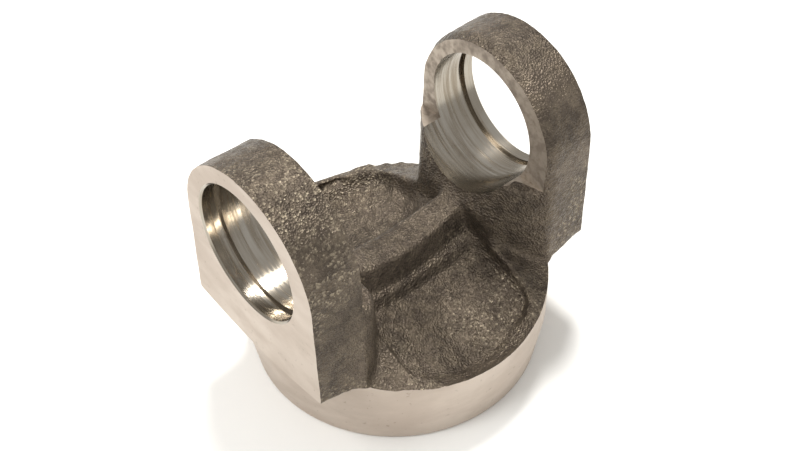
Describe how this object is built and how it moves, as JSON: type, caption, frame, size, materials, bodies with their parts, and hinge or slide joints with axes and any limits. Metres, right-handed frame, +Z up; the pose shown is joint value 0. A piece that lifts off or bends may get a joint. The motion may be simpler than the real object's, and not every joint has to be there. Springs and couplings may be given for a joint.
{
  "type": "yoke",
  "caption": "Forged steel end yoke for a drive shaft: two bored ears on a turned weld band, with a rib and hollows between them.",
  "frame": {"origin": "centre of the base face, on the shaft axis", "axes": "+Z up the shaft axis from the base to the ears, +X along the cross-bore axis, +Y across it"},
  "size_m": [0.0684, 0.0634, 0.0628],
  "materials": {
    "forged_steel": "as forged and shot blasted, dark and grainy, with lighter machined faces, band and bores"
  },
  "bodies": {
    "root": {"yoke": "forged_steel"}
  },
  "joints": []
}
